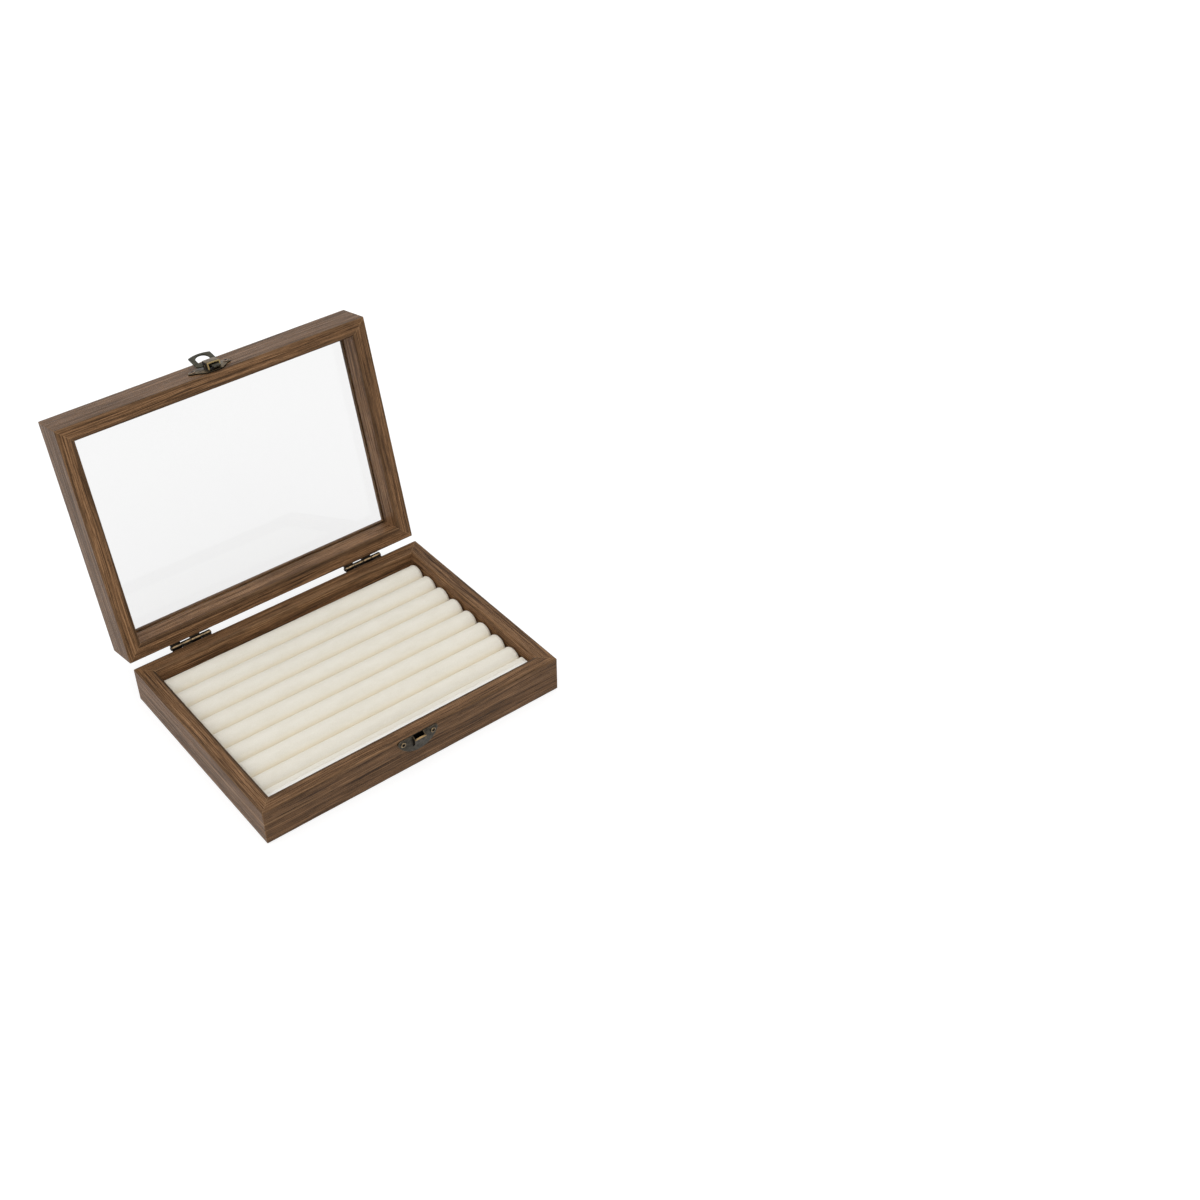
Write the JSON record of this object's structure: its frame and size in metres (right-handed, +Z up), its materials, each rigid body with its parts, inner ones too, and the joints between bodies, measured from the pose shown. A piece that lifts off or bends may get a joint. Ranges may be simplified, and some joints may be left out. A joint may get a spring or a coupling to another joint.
{
  "type": "ring display box",
  "caption": "Shallow wooden box with a hinged glass lid, padded rolls that hold rings upright in the slots between them, and a spring latch.",
  "frame": {"origin": "centre of the box's underside", "axes": "+X along the hinges to the right as seen from the front, +Y to the back where the hinges are, +Z up; the lid stands open at rest"},
  "size_m": [0.2, 0.2143, 0.1778],
  "materials": {
    "stained_wood": "dark walnut stain under a thin satin foil, worn lighter on the arrises",
    "cream_velvet": "short-pile cream velvet",
    "clear_glass": "clear float glass",
    "antique_bronze": "dark antique bronze plating, rubbed golden on the edges",
    "spring_wire": "plain drawn spring wire"
  },
  "bodies": {
    "base": {"base_rail_front": "stained_wood", "base_rail_back": "stained_wood", "base_rail_left": "stained_wood", "base_rail_right": "stained_wood", "base_panel": "stained_wood", "lining_board": "cream_velvet", "ring_roll_1": "cream_velvet", "ring_roll_2": "cream_velvet", "ring_roll_3": "cream_velvet", "ring_roll_4": "cream_velvet", "ring_roll_5": "cream_velvet", "ring_roll_6": "cream_velvet", "ring_roll_7": "cream_velvet", "ring_roll_8": "cream_velvet", "front_pad": "cream_velvet", "base_leaf_left": "antique_bronze", "base_leaf_right": "antique_bronze", "hinge_pin_left": "antique_bronze", "hinge_pin_right": "antique_bronze", "base_hinge_screws": "antique_bronze", "keeper": "antique_bronze", "keeper_screws": "antique_bronze"},
    "lid": {"lid_rail_front": "stained_wood", "lid_rail_back": "stained_wood", "lid_rail_left": "stained_wood", "lid_rail_right": "stained_wood", "glass_pane": "clear_glass", "lid_leaf_left": "antique_bronze", "lid_leaf_right": "antique_bronze", "lid_hinge_screws": "antique_bronze", "latch_case": "antique_bronze", "latch_case_screws": "antique_bronze", "latch_pin": "antique_bronze", "latch_spring": "spring_wire"},
    "lever": {"latch_lever": "antique_bronze"}
  },
  "joints": [
    {"name": "lid_hinge", "type": "hinge", "parent": "base", "child": "lid", "pos_m": [0, 0.0772, 0.024], "axis": [1, 0, 0], "range_deg": [0, 103]},
    {"name": "latch_press", "type": "hinge", "parent": "lid", "child": "lever", "pos_m": [0, 0.1173, 0.17413], "axis": [-1, 0, 0], "range_deg": [0, 8], "stiffness_Nm_per_rad": 0.15, "springref_deg": -5.73, "deforming": ["latch_spring"]}
  ]
}
